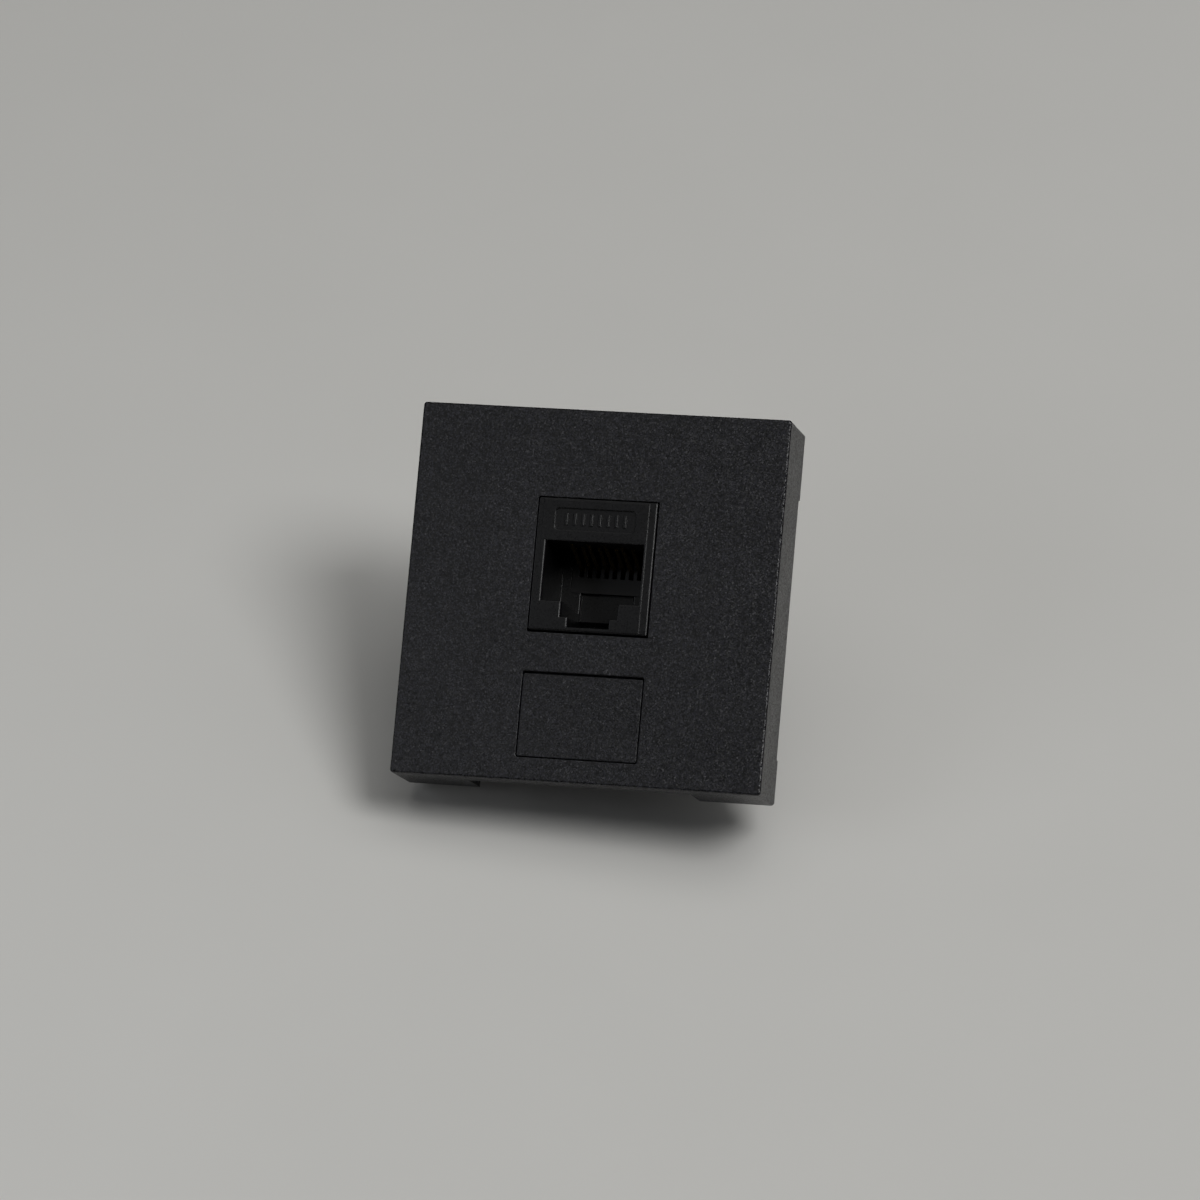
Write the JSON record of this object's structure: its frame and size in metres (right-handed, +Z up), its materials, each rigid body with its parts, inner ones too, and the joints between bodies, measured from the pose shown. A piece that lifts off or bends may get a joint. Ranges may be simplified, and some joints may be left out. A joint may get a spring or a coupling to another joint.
{
  "type": "ethernet socket module",
  "caption": "Square snap-in data outlet module: matte black face plate with skirt, snap tongues, flush label panel and a clipped-in modular jack with contacts, board and wire terminals.",
  "frame": {"origin": "centre of the seating plane, where the corner feet of the skirt land on the support frame", "axes": "+X right seen from the front, +Y from the face towards the wall, +Z up; the face looks to -Y"},
  "size_m": [0.045, 0.03, 0.045],
  "materials": {
    "plate_plastic": "fine spark-textured matte black moulding",
    "jack_plastic": "smooth satin black moulding",
    "carrier_plastic": "smooth black insert",
    "contact_gold": "gold plated spring strip",
    "board_laminate": "green solder mask",
    "terminal_plastic": "black moulding",
    "blade_metal": "tin plated bronze",
    "cap_plastic": "black moulding"
  },
  "bodies": {
    "module": {"front_plate": "plate_plastic", "label_panel": "plate_plastic", "jack_housing": "jack_plastic", "contact_carrier": "carrier_plastic", "circuit_board": "board_laminate", "idc_block": "terminal_plastic", "idc_blade_1": "blade_metal", "idc_blade_2": "blade_metal", "idc_blade_3": "blade_metal", "idc_blade_4": "blade_metal", "idc_blade_5": "blade_metal", "idc_blade_6": "blade_metal", "idc_blade_7": "blade_metal", "idc_blade_8": "blade_metal"},
    "contact_1": {"contact_1": "contact_gold"},
    "contact_2": {"contact_2": "contact_gold"},
    "contact_3": {"contact_3": "contact_gold"},
    "contact_4": {"contact_4": "contact_gold"},
    "contact_5": {"contact_5": "contact_gold"},
    "contact_6": {"contact_6": "contact_gold"},
    "contact_7": {"contact_7": "contact_gold"},
    "contact_8": {"contact_8": "contact_gold"},
    "wire_cap_left": {"wire_cap_left": "cap_plastic"},
    "wire_cap_right": {"wire_cap_right": "cap_plastic"}
  },
  "joints": [
    {"name": "contact_1_flex", "type": "hinge", "parent": "module", "child": "contact_1", "pos_m": [0, -0.0056, 0.0077], "axis": [1, 0, 0], "range_deg": [0, 9], "stiffness_Nm_per_rad": 0.03, "springref_deg": -2.86},
    {"name": "contact_2_flex", "type": "hinge", "parent": "module", "child": "contact_2", "pos_m": [0, -0.0056, 0.0077], "axis": [1, 0, 0], "range_deg": [0, 9], "stiffness_Nm_per_rad": 0.03, "springref_deg": -2.86},
    {"name": "contact_3_flex", "type": "hinge", "parent": "module", "child": "contact_3", "pos_m": [0, -0.0056, 0.0077], "axis": [1, 0, 0], "range_deg": [0, 9], "stiffness_Nm_per_rad": 0.03, "springref_deg": -2.86},
    {"name": "contact_4_flex", "type": "hinge", "parent": "module", "child": "contact_4", "pos_m": [0, -0.0056, 0.0077], "axis": [1, 0, 0], "range_deg": [0, 9], "stiffness_Nm_per_rad": 0.03, "springref_deg": -2.86},
    {"name": "contact_5_flex", "type": "hinge", "parent": "module", "child": "contact_5", "pos_m": [0, -0.0056, 0.0077], "axis": [1, 0, 0], "range_deg": [0, 9], "stiffness_Nm_per_rad": 0.03, "springref_deg": -2.86},
    {"name": "contact_6_flex", "type": "hinge", "parent": "module", "child": "contact_6", "pos_m": [0, -0.0056, 0.0077], "axis": [1, 0, 0], "range_deg": [0, 9], "stiffness_Nm_per_rad": 0.03, "springref_deg": -2.86},
    {"name": "contact_7_flex", "type": "hinge", "parent": "module", "child": "contact_7", "pos_m": [0, -0.0056, 0.0077], "axis": [1, 0, 0], "range_deg": [0, 9], "stiffness_Nm_per_rad": 0.03, "springref_deg": -2.86},
    {"name": "contact_8_flex", "type": "hinge", "parent": "module", "child": "contact_8", "pos_m": [0, -0.0056, 0.0077], "axis": [1, 0, 0], "range_deg": [0, 9], "stiffness_Nm_per_rad": 0.03, "springref_deg": -2.86},
    {"name": "wire_cap_left_lift", "type": "slide", "parent": "module", "child": "wire_cap_left", "axis": [0, 0, 1], "range_m": [0, 0.008]},
    {"name": "wire_cap_right_lift", "type": "slide", "parent": "module", "child": "wire_cap_right", "axis": [0, 0, 1], "range_m": [0, 0.008]}
  ]
}
